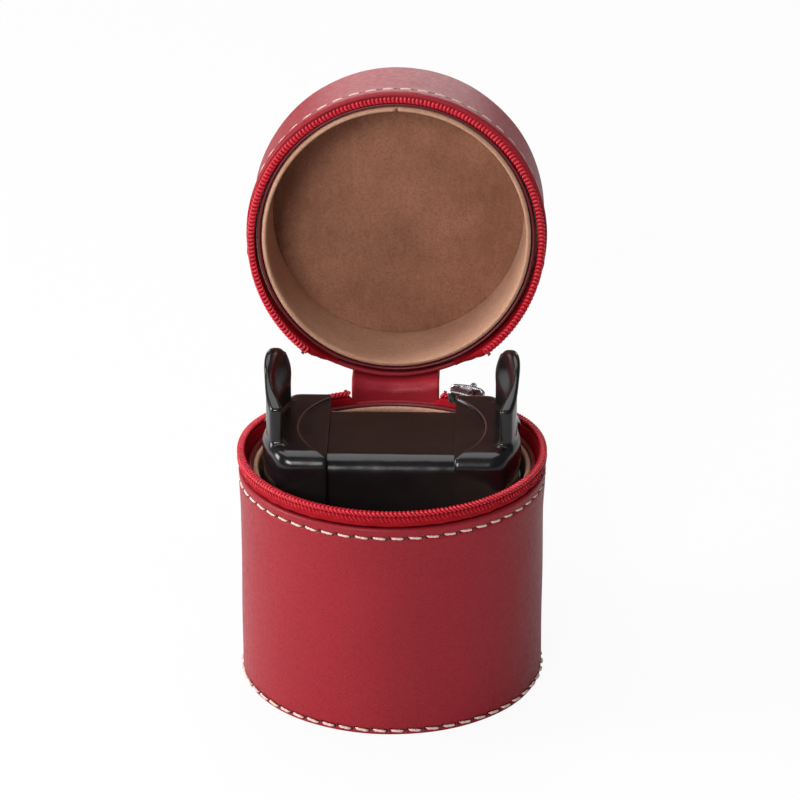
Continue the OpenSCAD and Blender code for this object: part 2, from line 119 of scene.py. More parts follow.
def add_mesh(name, points, wrap=(True, True), cap=False, uv=None, **paint):
    """A smooth mesh from one grid of points, or from a stack of equal grids.

    wrap says which of a grid's two directions close on themselves, cap closes an open first direction at both
    ends, uv gives the values along each direction, and each paint array becomes a point attribute. Faces are
    turned so that the volume they enclose is positive.
    """
    grids = points.reshape((-1,) + points.shape[-3:])
    n, nu, nv = grids.shape[:3]
    i, j = np.meshgrid(np.arange(nu - (not wrap[0])), np.arange(nv - (not wrap[1])), indexing="ij")
    i, j = i.ravel(), j.ravel()
    around = np.stack([np.stack([i, j]), np.stack([i + 1, j]), np.stack([i + 1, j + 1]), np.stack([i, j + 1])])
    quad = ((around[:, 0] % nu) * nv + around[:, 1] % nv).T
    verts = grids.reshape(n, nu * nv, 3)
    faces = [quad]
    if cap:
        verts = np.concatenate([verts, verts[:, :nv].mean(1)[:, None], verts[:, -nv:].mean(1)[:, None]], 1)
        k, after = np.arange(nv), (np.arange(nv) + 1) % nv
        last = (nu - 1) * nv
        faces.append(np.stack([k, after, np.full(nv, nu * nv)], -1))
        faces.append(np.stack([after + last, k + last, np.full(nv, nu * nv + 1)], -1))
    a, b, c, d = (verts[0][quad[:, q]] - verts[0].mean(0) for q in range(4))
    turned = (a * np.cross(b, c)).sum() + (a * np.cross(c, d)).sum() < 0
    faces = [face[:, ::-1] if turned else face for face in faces]
    per = verts.shape[1]
    loops = np.concatenate([face.ravel() for face in faces])
    loops = (loops[None] + per * np.arange(n)[:, None]).ravel()
    sizes = np.tile(np.concatenate([np.full(len(face), face.shape[1]) for face in faces]), n)
    mesh = bpy.data.meshes.new(name)
    mesh.vertices.add(n * per)
    mesh.vertices.foreach_set("co", verts.astype(np.float32).ravel())
    mesh.loops.add(len(loops))
    mesh.loops.foreach_set("vertex_index", loops.astype(np.int32))
    mesh.polygons.add(len(sizes))
    mesh.polygons.foreach_set("loop_start", (np.cumsum(sizes) - sizes).astype(np.int32))
    mesh.polygons.foreach_set("use_smooth", np.ones(len(sizes), bool))
    mesh.update(calc_edges=True)
    if uv is not None:
        corner = np.stack([uv[0][around[:, 0]], uv[1][around[:, 1]]], -1).transpose(1, 0, 2)
        corner = corner[:, ::-1] if turned else corner
        flat = np.zeros((n, len(loops) // n, 2), np.float32)
        flat[:, :quad.size] = corner.reshape(-1, 2)
        mesh.uv_layers.new(name="uv").data.foreach_set("uv", flat.ravel())
    for key, value in paint.items():
        flat = np.zeros((n, per), np.float32)
        flat[:, :nu * nv] = np.broadcast_to(value, (n, nu, nv)).reshape(n, -1)
        mesh.attributes.new(key, "FLOAT", "POINT").data.foreach_set("value", flat.ravel())
    mesh.validate()
    return new_object(name, mesh)


def finish_piece(piece, material, body, slot, *nodes):
    """Gives a piece its material and its body, and hides the CAD nodes that it stands for. Its slot is not used."""
    piece.data.materials.append(material)
    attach(piece, body)
    if nodes:
        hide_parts(*nodes)


def new_material(name):
    """A material and its shader tree."""
    made = bpy.data.materials.new(name)
    made.use_nodes = True
    return made, made.node_tree


def node(tree, kind, settings=(), **inputs):
    """Adds a shader node. An input is named by its label or, with a leading n, by its number."""
    added = tree.nodes.new("ShaderNode" + kind)
    for key, value in dict(settings).items():
        setattr(added, key, value)
    for key, value in inputs.items():
        socket = added.inputs[int(key[1:])] if key[1:].isdigit() else added.inputs[key.replace("_", " ")]
        if isinstance(value, bpy.types.NodeSocket):
            tree.links.new(value, socket)
        else:
            socket.default_value = value
    return added


def noise(tree, place, scale, detail, rough=0.5):
    """Blotches from 0 to 1 over the place. Detail adds finer ones, and rough is their weight."""
    return node(tree, "TexNoise", Vector=place, Scale=scale, Detail=detail, Roughness=rough).outputs[0]


def times(tree, a, b):
    """The product of two values."""
    return node(tree, "Math", {"operation": "MULTIPLY"}, n0=a, n1=b).outputs[0]


def add_share(tree, a, share, b):
    """The value a times its share, plus b."""
    return node(tree, "Math", {"operation": "MULTIPLY_ADD"}, n0=a, n1=share, n2=b).outputs[0]


def blend_colour(tree, share, a, b):
    """Colour between a and b by share, each a value or a socket."""
    return node(tree, "Mix", {"data_type": "RGBA"}, n0=share, n6=a, n7=b).outputs[2]


def span(tree, value, low, high, out_low=0.0, out_high=1.0):
    """The value's range low to high, spread over another range."""
    return node(tree, "MapRange", n0=value, n1=low, n2=high, n3=out_low, n4=out_high).outputs[0]


def darker(colour, share):
    """The colour at a share of its strength."""
    return tuple(share * c for c in colour[:3]) + (1,)


def shade(tree, colour, rough, height, distance, strength=1.0, **extra):
    """Wires colour, roughness and bump into the material's shader."""
    shader = tree.nodes["Principled BSDF"]
    bump = node(tree, "Bump", Height=height, Distance=distance, Strength=strength)
    tree.links.new(bump.outputs[0], shader.inputs["Normal"])
    for key, value in {"Base Color": colour, "Roughness": rough, **extra}.items():
        if isinstance(value, bpy.types.NodeSocket):
            tree.links.new(value, shader.inputs[key])
        else:
            shader.inputs[key].default_value = value


def leather(name, colour, deep, rough, grain=1.0, gleam=0.2):
    """Grained leather: pebbles, painted shade in their fine creases and at the stitch holes, and a slow drift of
    tone.
    """
    made, tree = new_material(name)
    place = node(tree, "TexCoord").outputs["Object"]
    drift = noise(tree, place, 30, 3)
    mottle = noise(tree, place, 700, 5, 0.6)
    stir = node(tree, "TexNoise", Vector=place, Scale=900.0, Detail=2.0).outputs[1]
    bent = node(tree, "VectorMath", {"operation": "MULTIPLY_ADD"}, n0=stir, n1=(0.0005,) * 3, n2=place).outputs[0]
    edge = node(tree, "TexVoronoi", {"feature": "DISTANCE_TO_EDGE"}, Vector=bent, Scale=1350.0)
    fine = node(tree, "TexVoronoi", Vector=bent, Scale=3100.0).outputs["Distance"]
    pebble = span(tree, edge.outputs["Distance"], 0.0, 0.22)
    tone = blend_colour(tree, span(tree, drift, 0.3, 0.7, 0.0, 0.35), colour, deep)
    tone = blend_colour(tree, span(tree, mottle, 0.3, 0.75, 0.0, 0.3), tone, deep)
    # Painted shade in the creases between the pebbles.
    tone = blend_colour(tree, span(tree, pebble, 0.0, 0.7, 0.3, 0.0), tone, darker(deep, 0.45))
    # Painted shade in the stitch holes and under the stitches, from the points' dark attribute.
    dark = node(tree, "Attribute", {"attribute_name": "dark"}).outputs["Fac"]
    tone = blend_colour(tree, dark, tone, darker(deep, 0.06))
    height = add_share(tree, fine, -0.25, pebble)
    height = add_share(tree, mottle, 0.9, height)
    gloss = span(tree, mottle, 0.25, 0.75, rough - 0.07, rough + 0.1)
    shade(tree, tone, gloss, height, 0.00004 * grain, 0.5, **{"Specular IOR Level": gleam})
    return made


def row_marks(t, across, row, free):
    """Dent depth in mm that a stitch row presses into the leather, and painted shade at its holes and stitches.

    The row runs along angle t, and across and row are measured square to it.
    """
    step = 2 * math.pi / stitches
    local = (t / step) % 1 - 0.5
    near = (from_hinge(t % (2 * math.pi)) > free).astype(float)
    along = (np.abs(local) - stitch_fill / 2) * step * wrap_out
    off = across - row
    hole = np.exp(-(along ** 2 + (off - stitch_slant * np.sign(local)) ** 2) / hole_r ** 2)
    under = ease(stitch_fill / 2 + 0.05 - np.abs(local), 0.0, 0.08)
    bed = np.exp(-(off / bed_r) ** 2) * (bed_deep + bed_press * under)
    shadow = shadow_dark * under * np.exp(-(off / shadow_r) ** 2)
    return near * (hole_deep * hole + bed), np.clip(near * np.maximum(hole_dark * hole, shadow), 0, 1)


def depth_steps(edge, far, rows):
    """Depths along a wrap: coarse on the plain leather, fine at its edges and along its stitch rows."""
    plain = np.linspace(edge, far, int((far - edge) / 1.6))
    fine = [np.linspace(row - 1.3, row + 1.3, 19) for row, _ in rows]
    edges = [edge + 1.1 * np.linspace(0, 1, 10) ** 1.6, far - 1.1 * np.linspace(0, 1, 10) ** 1.6]
    return np.unique(np.round(np.concatenate([plain, *fine, *edges]), 3))


def leather_wrap(name, place, edge, far, rows, flare, flare_l, splay, reach):
    """A drum's leather: a tube dented by its rows, with rounded edges, slow waves and two creases below its edge.

    Over its last flare_l mm the tube opens by flare outside and by splay inside, away from the hinge. reach(t)
    is how far the edge stands past its nominal depth.
    """
    t = full_turn(stitches * 16)[:, None]
    d = depth_steps(edge, far, rows)[None, :]
    away = ease(from_hinge(t), 25, 70)
    r = wrap_out + flare * away * ease(-d, -edge - flare_l, -edge)
    r = r + 0.05 * np.sin(3 * t + 0.08 * d) * np.sin(0.13 * d + 1) + 0.03 * np.sin(11 * t + 0.21 * d)
    # dark gathers the rows' painted shade at the stitch holes and under the stitches.
    dark = np.zeros_like(r)
    for row, free in rows:
        dent, shadow = row_marks(t, d, row, free)
        r, dark = r - dent, np.maximum(dark, shadow)
    for end, soft in ((edge, 0.75), (far, 0.7)):
        q = np.clip(1 - np.abs(d - end) / soft, 0, 1)
        r = r - 0.8 * soft * (1 - np.sqrt(1 - q ** 2))
    crease = np.exp(-((d - edge - 1.25) / 0.12) ** 2) + 0.6 * np.exp(-((d - edge - 1.75) / 0.1) ** 2)
    r = r - 0.05 * crease
    inner_d = np.concatenate([[far], np.linspace(edge + flare_l, edge, 7)])[None, :] + 0 * t
    inner_r = wrap_in + splay * away * ease(-inner_d, -edge - flare_l, -edge)
    rr = np.concatenate([r, inner_r], 1)
    dd = np.concatenate([d + 0 * t, inner_d], 1)
    dd = dd - reach(t) * np.clip(1 - (dd - edge) / 1.3, 0, 1)
    dark = np.concatenate([dark, 0 * inner_d], 1)
    return add_mesh(name, place(t, rr, dd), dark=dark)


red_leather = leather("red_leather", leather_red, leather_deep, 0.42)
base_rows = [(base_gap + rim_row, row_free), (base_far - panel_row, 0)]
piece = leather_wrap("base_wrap", at_base, base_gap, base_far, base_rows, flare=0.45, flare_l=13, splay=0,
                     reach=lambda t: 0)
finish_piece(piece, red_leather, "base", "red_leather", "base_leather")

# ---------------------------------------------------------------- base: stitch rows
# Waxed cream thread, about 0.65 mm thick. Each stitch is a twisted two-strand capsule that dives into its holes.
stitch_high, stitch_wide = 0.36, 0.31
stitch_lift, stitch_dive, strand_waist = 0.16, 0.42, 0.14
capsule_uv = (np.linspace(-1.7, 1.7, 9), np.linspace(0, 1, 9))


def capsule():
    """One stitch: where a point lies along it from -1 to 1, its height over the leather and its place across."""
    s = np.linspace(-1, 1, 9)[None, :, None]
    a = full_turn(8)[None, None, :]
    thick = np.sqrt(np.clip(1.06 - s ** 6, 0, 1)) * (1 + strand_waist * np.cos(2 * (a - 4.2 * s)))
    high = stitch_lift - stitch_dive * s ** 6 + stitch_high * thick * np.cos(a)
    return s, high, stitch_wide * thick * np.sin(a)


def row_angles(free):
    """Middle angle of every stitch of a row that leaves the hinge free."""
    middle = (np.arange(stitches) + 0.5) * 2 * math.pi / stitches
    return middle[from_hinge(middle) > free][:, None, None]


def uneven(middle):
    """A value from -1 to 1 that differs from stitch to stitch."""
    return np.sin(middle * 91.7)


def stitch_row(name, place, row, free):
    """Stitches round a wrap, each slightly slanted."""
    middle = row_angles(free)
    s, high, off = capsule()
    jitter = uneven(middle)
    t = middle + s * math.pi / stitches * stitch_fill * (1 + 0.03 * jitter)
    d = row + s * stitch_slant * (1 + 0.35 * jitter) + off
    return add_mesh(name, place(t, wrap_out + high, d), (False, True), True, capsule_uv)


def waxed_thread():
    """Cream thread: two strands with painted shade in the grooves between them, and a brownish fuzz."""
    made, tree = new_material("thread")
    place = node(tree, "TexCoord").outputs["Object"]
    twist = node(tree, "TexWave", {"bands_direction": "DIAGONAL"}, Vector=node(tree, "UVMap").outputs[0], Scale=2.6,
                 Distortion=0.8).outputs[1]
    fuzz = noise(tree, place, 2600, 3)
    # Painted shade in the grooves between the strands.
    tone = blend_colour(tree, twist, (0.66, 0.42, 0.35, 1), (0.95, 0.78, 0.70, 1))
    tone = blend_colour(tree, span(tree, fuzz, 0.35, 0.75, 0.0, 0.5), tone, (0.52, 0.28, 0.22, 1))
    height = node(tree, "Math", n0=twist, n1=fuzz).outputs[0]
    shade(tree, tone, 0.62, height, 0.00006, 0.7, **{"Sheen Weight": 0.2, "Specular IOR Level": 0.3})
    return made


thread = waxed_thread()
piece = stitch_row("base_rim_stitches", at_base, base_gap + rim_row, row_free)
finish_piece(piece, thread, "base", "thread", "base_top_stitches")
piece = stitch_row("base_foot_stitches", at_base, base_far - panel_row, 0)
finish_piece(piece, thread, "base", "thread", "base_bottom_stitches")

# ---------------------------------------------------------------- base: panel underneath and boards
# A round leather panel closes the underside, 1.2 mm thick with skived edges. The boards are grey-brown pulp board.
panel_r, panel_t = 37.45, 1.2


def disc(name, place, radius, near, far, crown_near, crown_far, soft, row=None):
    """A round panel: near and far faces swell by their crowns, and both edges are rounded over a width soft.

    A row dents the far face at its radius, under a ring of stitches, with painted shade at its holes and stitches.
    """
    t = full_turn(864 if row else 160)[:, None]
    s = np.concatenate([np.linspace(0.02, 0.9, 26), 1 - 0.1 * np.linspace(1, 0, 16)[1:] ** 1.4])[None, :]
    tuck = (1 - np.sqrt(1 - np.clip(1 - (1 - s) * radius / soft, 0, 1) ** 2)) * (far - near) / 2
    top = near + tuck - crown_near * (1 - s ** 2) + 0 * t
    bottom = far - tuck + crown_far * (1 - s ** 2) + 0 * t
    dark = 0 * bottom
    if row:
        dent, dark = row_marks(t, s * radius, row, 0)
        bottom = bottom - dent
    r = np.concatenate([s, s[:, ::-1]], 1) * radius + 0 * t
    d = np.concatenate([top, bottom[:, ::-1]], 1)
    dark = np.concatenate([0 * top, dark[:, ::-1]], 1)
    return add_mesh(name, place(t, r, d).transpose(1, 0, 2), (False, True), True, dark=dark.T)


piece = disc("base_panel", at_base, panel_r, plane_z - panel_t, plane_z, crown_near=0, crown_far=0, soft=0.6)
finish_piece(piece, red_leather, "base", "red_leather", "base_bottom_leather")


def pulp_board():
    """Board of pressed pulp, in blotches of two tones."""
    made, tree = new_material("board")
    pulp = noise(tree, node(tree, "TexCoord").outputs["Object"], 700, 8, 0.7)
    tone = blend_colour(tree, span(tree, pulp, 0.3, 0.7), (0.30, 0.23, 0.16, 1), (0.55, 0.45, 0.33, 1))
    shade(tree, tone, 0.9, pulp, 0.0001)
    return made


def repaint(material, *nodes):
    """Gives CAD nodes that stay in view their finished material."""
    for name in nodes:
        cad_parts[name].data.materials.clear()
        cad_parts[name].data.materials.append(material)


repaint(pulp_board(), "base_core", "base_bottom_board", "lid_core", "lid_top_board")

# ---------------------------------------------------------------- base: lining, floor pad and facing
# Tan suede sleeve, 1.4 mm thick, with a butt seam, and a brown suede pad on the floor. Above the sleeve a smooth
# dark red leather strip is rolled over the wall's edge.
lining_in, lining_out = 34.0, 35.4
pad_top, pad_t = 4.8, 1.55
facing_in, facing_out, facing_low = 35.45, 36.9, 5.0


def suede(name, light, deep, sheen):
    """Suede: short nap that lies in patches, with brushed streaks and specks, and painted shade along a lining's
    seam.
    """
    made, tree = new_material(name)
    place = node(tree, "TexCoord").outputs["Object"]
    patch = noise(tree, place, 55, 4, 0.62)
    nap = noise(tree, place, 1700, 6, 0.72)
    drawn = node(tree, "VectorMath", {"operation": "MULTIPLY"}, n0=place, n1=(700, 700, 260)).outputs[0]
    streak = noise(tree, drawn, 1, 3)
    tone = blend_colour(tree, span(tree, patch, 0.34, 0.68), deep, light)
    tone = blend_colour(tree, span(tree, nap, 0.40, 0.62, 0.0, 0.55), tone, darker(deep, 0.62))
    tone = blend_colour(tree, span(tree, streak, 0.5, 0.75, 0.0, 0.2), tone, darker(light, 1.2))
    # Painted shade from the points' dark attribute, along the lining's seam groove.
    dark = node(tree, "Attribute", {"attribute_name": "dark"}).outputs["Fac"]
    tone = blend_colour(tree, dark, tone, darker(deep, 0.35))
    height = add_share(tree, streak, 0.5, nap)
    tint = tuple(min(1, 1.8 * c) for c in light[:3]) + (1,)
    shade(tree, tone, 0.95, height, 0.00020, 0.6, **{"Sheen Weight": sheen, "Sheen Roughness": 0.45,
                                                    "Sheen Tint": tint, "Specular IOR Level": 0.1})
    return made


def sleeve(name, place, near, far, mouth, swell):
    """Lining sleeve with a rolled mouth. Its seam is a groove with painted shade in it and a notch in the mouth.

    mouth is how far the sleeve leans in at its mouth, and swell how far its padded wall swells at its far end.
    """
    t = full_turn(480)[:, None]
    d = np.concatenate([near + 2.0 * np.linspace(0, 1, 12) ** 1.6, np.linspace(near + 2.4, far, 46)])[None, :]
    arc = (t - math.pi) * lining_in
    seam = np.exp(-(arc / 0.28) ** 2)
    wave = 0.10 * np.sin(5 * t + 0.11 * d) * np.sin(0.21 * d + 0.7) + 0.05 * np.sin(13 * t - 0.3 * d)
    roll = 0.55 * (1 - np.sqrt(1 - np.clip(1 - (d - near) / 0.9, 0, 1) ** 2))
    lean = mouth * ease(-d, -near - 5, -near - 1)
    r = lining_in + 0.12 + 0.45 * seam + 0.10 * wave + roll - lean - swell * ease(d, near + 12, far)
    notch = 0.9 * np.exp(-(np.abs(arc) / 0.55) ** 1.5) * ease(-d, -near - 3, -near)
    back_d = np.array([far, near + 5, near + 1.5, near + 0.4])[None, :] + 0 * t
    back_r = lining_out - 0.05 - mouth * ease(-back_d, -near - 5, -near - 1)
    rr, dd = np.concatenate([r, back_r], 1), np.concatenate([d + notch, back_d], 1)
    # Painted shade along the seam's groove.
    dark = np.concatenate([0.75 * seam + 0 * d, 0 * back_d], 1)
    return add_mesh(name, place(t, rr, dd), dark=dark)


def edge_roll(name, place, top, outer):
    """Facing: a flat strip whose top is rolled over the wall, slightly uneven, with a pressed line below the roll."""
    t = full_turn(480)[:, None]
    a = np.linspace(math.pi, 0, 18)[None, :]
    half = (outer - facing_in) / 2
    r = facing_in + half + half * np.cos(a) + 0 * t
    d = top + 0.62 - 0.62 * np.sin(a) ** 0.8 + 0.05 * np.sin(7 * t) * np.sin(3 * t + 1)
    low_r = np.array([outer, facing_in, facing_in, facing_in + 0.10, facing_in])[None, :] + 0 * t
    low_d = np.array([facing_low, facing_low, top + 1.15, top + 0.95, top + 0.75])[None, :] + 0 * t
    return add_mesh(name, place(t, np.concatenate([r, low_r], 1), np.concatenate([d, low_d], 1)))


tan_suede = suede("tan_suede", (0.60, 0.345, 0.235, 1), (0.46, 0.245, 0.16, 1), 0.25)
piece = sleeve("base_sleeve", at_base, base_gap + 0.2, plane_z - pad_top - 0.05, mouth=0, swell=0)
finish_piece(piece, tan_suede, "base", "tan_suede", "base_lining")
brown_suede = suede("brown_suede", (0.40, 0.185, 0.115, 1), (0.27, 0.12, 0.074, 1), 0.15)
piece = disc("base_pad", at_base, lining_out, plane_z - pad_top, plane_z - pad_top + pad_t, crown_near=0,
             crown_far=0, soft=0.8)
finish_piece(piece, brown_suede, "base", "brown_suede", "base_floor_pad")
maroon_leather = leather("maroon_leather", (0.135, 0.008, 0.013, 1), (0.08, 0.004, 0.008, 1), rough=0.36, grain=0.6,
                         gleam=0.35)
piece = edge_roll("base_edge_roll", at_base, base_gap - 0.3, facing_out)
finish_piece(piece, maroon_leather, "base", "maroon_leather", "base_facing")

# ---------------------------------------------------------------- base: zip tape and teeth
# Woven red tape, 0.5 mm thick, sewn in 9 mm deep. It bulges out over the leather's edge and carries a nylon coil,
# one loop each 1.1 mm round a soft cord, held by a row of chain stitches. Away from the hinge the tape stands
# 1.5 mm higher, and on the lid the coil also curls in behind the leather.
tape_in, tape_out, tape_tail = 36.95, 37.45, 9.0
coil_in, coil_out = 37.55, 39.55
coil_top, coil_low = 0.1, 1.35
coil_pitch, coil_wire = 1.1, 0.29
tape_rise, coil_curl, tape_fold, tuck_r = 1.5, 1.3, 0.15, 37.6
seam_r, seam_half, seam_wide = 39.32, 0.46, 0.25
zip_gap = {"base": base_gap, "lid": 3.9}
tape_from = {"base": 15.7, "lid": 24.0}
tape_tuck = {"base": 3.0, "lid": 13.4}
coil_from = {"base": 18.7, "lid": 37.63}


def rise_at(t):
    """How far the meeting line stands above the meeting plane at angle t."""
    return tape_rise * ease(from_hinge(t), 24, 80)


def zip_bend(half, t, r, d):
    """Radius and depth of a point of a flat rim's zip once the tape has taken its shape.

    Past the coil's ends the tape tucks in under the leather's edge. The share out of each move is 0 at the
    leather's edge and 1 from the coil on.
    """
    gap = zip_gap[half]
    free = 1 - ease(from_hinge(t) - tape_from[half], 0, tape_tuck[half])
    out = np.clip((gap + 0.3 - d) / (gap + 0.3 - coil_low), 0, 1)
    r = r - free * out * np.clip(r - tuck_r, 0, 2)
    if half == "lid":
        r = r - coil_curl * ease(from_hinge(t), 40, 150) * out
    d = d + free * out * (gap - 0.4 - coil_low) + (1 if half == "lid" else -1) * rise_at(t) * out * (1 - free)
    return r, d


def zip_tape(name, place, half):
    """Tape swept round the rim: a closed section of tail, bulge and lip, with small folds in the bulge."""
    gap = zip_gap[half]
    t = np.radians(np.linspace(tape_from[half], 360 - tape_from[half], 1000))[:, None]
    mid = (gap + coil_low) / 2
    section = np.array([
        [tape_in, tape_tail], [tape_out, tape_tail], [tape_out, gap + 0.4], [37.9, gap - 0.05], [38.6, gap - 0.22],
        [39.05, gap - 0.35], [39.33, gap - 0.75], [39.42, mid], [39.34, coil_low + 0.35], [39.15, coil_low + 0.05],
        [38.5, coil_low - 0.02], [37.75, coil_low + 0.05], [37.45, coil_low + 0.4], [37.3, mid],
        [37.1, gap - 0.4], [tape_in, gap - 0.1], [tape_in, gap + 1.5], [tape_in, tape_tail]])
    steps = np.concatenate([[0], np.cumsum(np.hypot(*np.diff(section, axis=0).T))])
    s = np.linspace(0, steps[-1], 57)
    r, d = np.interp(s[:-1], steps, section[:, 0])[None, :], np.interp(s[:-1], steps, section[:, 1])[None, :]
    shown = ease(-d, -gap - 0.2, -gap + 0.4) * ease(d, coil_low - 0.2, coil_low + 0.5) * (r > 38.2)
    fold = np.sin(29 * t + 2.4 * d) * np.sin(7.3 * t + 1.3) + 0.6 * np.sin(53 * t - 3.1 * d + 2)
    r, d = zip_bend(half, t, r + tape_fold * shown * fold, d)
    return add_mesh(name, place(t, r, d), (False, True), True, (t.ravel() * coil_out, s))


def coil_angles(half, inset):
    """Angles of the coil's loops, starting some degrees inside its ends."""
    first = math.radians(coil_from[half] + inset)
    whole = 2 * math.pi - 2 * first
    return np.linspace(first, first + whole, int(whole * coil_out / coil_pitch))[:, None, None]


def zip_coil(name, place, half):
    """Coil: flattened rings of wire. Each slants along the rim between its two faces, which lie radially."""
    t = coil_angles(half, 0.4)
    s = full_turn(12)[None, :, None]
    a = full_turn(6)[None, None, :]
    half_r, half_d = (coil_out - coil_in) / 2 - coil_wire, (coil_low - coil_top) / 2 - coil_wire * 0.8
    cs, sn = np.sign(np.cos(s)) * np.abs(np.cos(s)) ** 0.6, np.sign(np.sin(s)) * np.abs(np.sin(s)) ** 0.6
    along = 0.45 * sn + coil_wire * 1.55 * np.sin(a)
    r = (coil_in + coil_out) / 2 + half_r * cs + coil_wire * np.cos(a) * cs
    d = (coil_top + coil_low) / 2 - half_d * sn - coil_wire * 0.8 * np.cos(a) * sn
    r, d = zip_bend(half, t, r, d)
    return add_mesh(name, place(t - along / coil_out, r, d))


def coil_cord(name, place, half):
    """The soft cord inside the coil, an oval swept round the rim."""
    t = np.radians(np.linspace(coil_from[half], 360 - coil_from[half], 500))[:, None]
    a = np.linspace(0, 2 * math.pi, 9)
    r, d = (coil_in + coil_out) / 2 + 0.74 * np.cos(a[:-1]), (coil_top + coil_low) / 2 + 0.40 * np.sin(a[:-1])
    r, d = zip_bend(half, t, r[None, :], d[None, :])
    return add_mesh(name, place(t, r, d), (False, True), True, (t.ravel() * coil_out, a))


def coil_seam(name, place, half):
    """Chain stitches below the coil: short capsules, slanted against the coil's legs."""
    t = coil_angles(half, 3)
    s = np.linspace(-1, 1, 5)[None, :, None]
    a = full_turn(6)[None, None, :]
    thick = np.sqrt(1.04 - s ** 4)
    along = 0.42 * s + seam_wide * thick * np.sin(a)
    r = seam_r - 0.10 * s ** 2 + 0.20 * thick * np.cos(a)
    d = coil_low + 0.42 + seam_half * s + 0.08 * np.sin(a)
    r, d = zip_bend(half, t, r, d)
    return add_mesh(name, place(t + along / coil_out, r, d), (False, True), True)


def woven_tape():
    """Red cloth: ribs along the rim crossed by a slanted weft with painted shade in its hollows, under a cloudy tone.
    """
    made, tree = new_material("zip_tape")
    uv = node(tree, "UVMap").outputs[0]
    rib = node(tree, "TexWave", {"bands_direction": "X", "wave_profile": "SIN"}, Vector=uv, Scale=1.4).outputs[1]
    weft = node(tree, "TexWave", {"bands_direction": "DIAGONAL"}, Vector=uv, Scale=1.9, Distortion=1.2).outputs[1]
    cloud = noise(tree, node(tree, "TexCoord").outputs["Object"], 260, 5)
    weave = times(tree, rib, weft)
    # Painted shade in the weave's hollows, where it is low.
    tone = blend_colour(tree, weave, (0.28, 0.004, 0.009, 1), (0.42, 0.007, 0.014, 1))
    tone = blend_colour(tree, span(tree, cloud, 0.35, 0.7, 0.0, 0.4), tone, (0.23, 0.003, 0.008, 1))
    shade(tree, tone, 0.75, weave, 0.00008, 0.7, **{"Specular IOR Level": 0.08})
    return made


def coil_nylon():
    """Red nylon with fine specks that also vary its gloss."""
    made, tree = new_material("zip_nylon")
    speck = noise(tree, node(tree, "TexCoord").outputs["Object"], 900, 4)
    tone = blend_colour(tree, span(tree, speck, 0.35, 0.7), (0.42, 0.006, 0.016, 1), (0.60, 0.014, 0.034, 1))
    shade(tree, tone, span(tree, speck, 0.3, 0.7, 0.30, 0.45), speck, 0.00003, 0.5, **{"Specular IOR Level": 0.4})
    return made


zip_cloth, zip_nylon = woven_tape(), coil_nylon()


def finish_zip(place, half):
    """The four pieces of one half's zip."""
    finish_piece(zip_tape(half + "_tape", place, half), zip_cloth, half, "zip_tape", half + "_zip_tape")
    finish_piece(zip_coil(half + "_coil", place, half), zip_nylon, half, "zip_teeth", half + "_zip_teeth")
    finish_piece(coil_cord(half + "_coil_cord", place, half), zip_cloth, half, "zip_tape")
    finish_piece(coil_seam(half + "_coil_seam", place, half), zip_nylon, half, "zip_tape")


finish_zip(at_base, "base")

# ---------------------------------------------------------------- lid
# The same layers as the base, 31 mm deep, with a crowned brown suede pad in its top. It is made closed above the
# meeting plane and turned back 96 degrees about the hinge line. In front its leather reaches further and splays.
hinge_y = 40.0
open_angle = math.radians(96)
lid_gap = zip_gap["lid"]
lid_far, lid_panel, lid_pad_at, lid_pad_t = 30.9, 29.9, 26.3, 1.6
lid_reach, lid_mouth, lid_facing_out = 2.2, 1.8, 36.3
crown_row = wrap_in - 1.93


def at_lid(t, r, d):
    """Metres of the point at angle t, radius r and depth d above the meeting plane, on the opened lid."""
    x, y, z = np.broadcast_arrays(-r * np.sin(t), r * np.cos(t) - hinge_y, d)
    turned = np.stack([x, hinge_y + y * math.cos(open_angle) + z * math.sin(open_angle),
                       plane_z - y * math.sin(open_angle) + z * math.cos(open_angle)], -1)
    return turned * 0.001


def crown_stitches(name, row, face):
    """A ring of stitches at radius row that lies on the lid panel's outer face, at depth face."""
    middle = row_angles(0)
    s, high, off = capsule()
    t = middle + s * math.pi / stitches * stitch_fill
    r = row + s * stitch_slant * (1 + 0.35 * uneven(middle)) + off
    return add_mesh(name, at_lid(t, r, face + high), (False, True), True, capsule_uv)


piece = leather_wrap("lid_wrap", at_lid, lid_gap, lid_far, [(lid_gap + rim_row, row_free)], flare=0.6, flare_l=6,
                     splay=0.5, reach=lambda t: lid_reach * ease(from_hinge(t), 80, 150))
finish_piece(piece, red_leather, "lid", "red_leather", "lid_leather")
piece = disc("lid_panel", at_lid, panel_r, lid_panel, lid_panel + panel_t, crown_near=0, crown_far=0, soft=0.6,
             row=crown_row)
finish_piece(piece, red_leather, "lid", "red_leather", "lid_top_leather")
piece = stitch_row("lid_rim_stitches", at_lid, lid_gap + rim_row, row_free)
finish_piece(piece, thread, "lid", "thread", "lid_edge_stitches")
piece = crown_stitches("lid_crown_stitches", crown_row, lid_panel + panel_t)
finish_piece(piece, thread, "lid", "thread", "lid_top_stitches")
piece = sleeve("lid_sleeve", at_lid, lid_mouth, lid_pad_at - 0.05, mouth=0.2, swell=0.7)
finish_piece(piece, tan_suede, "lid", "tan_suede", "lid_lining")
piece = disc("lid_pad", at_lid, lining_out, lid_pad_at, lid_pad_at + lid_pad_t, crown_near=0.7, crown_far=0, soft=2.2)
finish_piece(piece, brown_suede, "lid", "brown_suede", "lid_top_pad")
piece = edge_roll("lid_edge_roll", at_lid, lid_mouth + 0.1, lid_facing_out)
finish_piece(piece, maroon_leather, "lid", "maroon_leather", "lid_facing")
finish_zip(at_lid, "lid")

# ---------------------------------------------------------------- hinge strip
# One strip of the red leather, 1.1 mm thick and 23 mm wide, sewn on both halves. It bends round the hinge line.
strip_half, strip_r, strip_t, strip_len = math.radians(17), 39.35, 1.1, 16.0
strip_bend = 2.2
patch_row, patch_row_turn, patch_top, patch_step = 1.6, 2.4, 4.8, 3.0
patch_down, patch_across, patch_stitch = 4, 6, 1.15


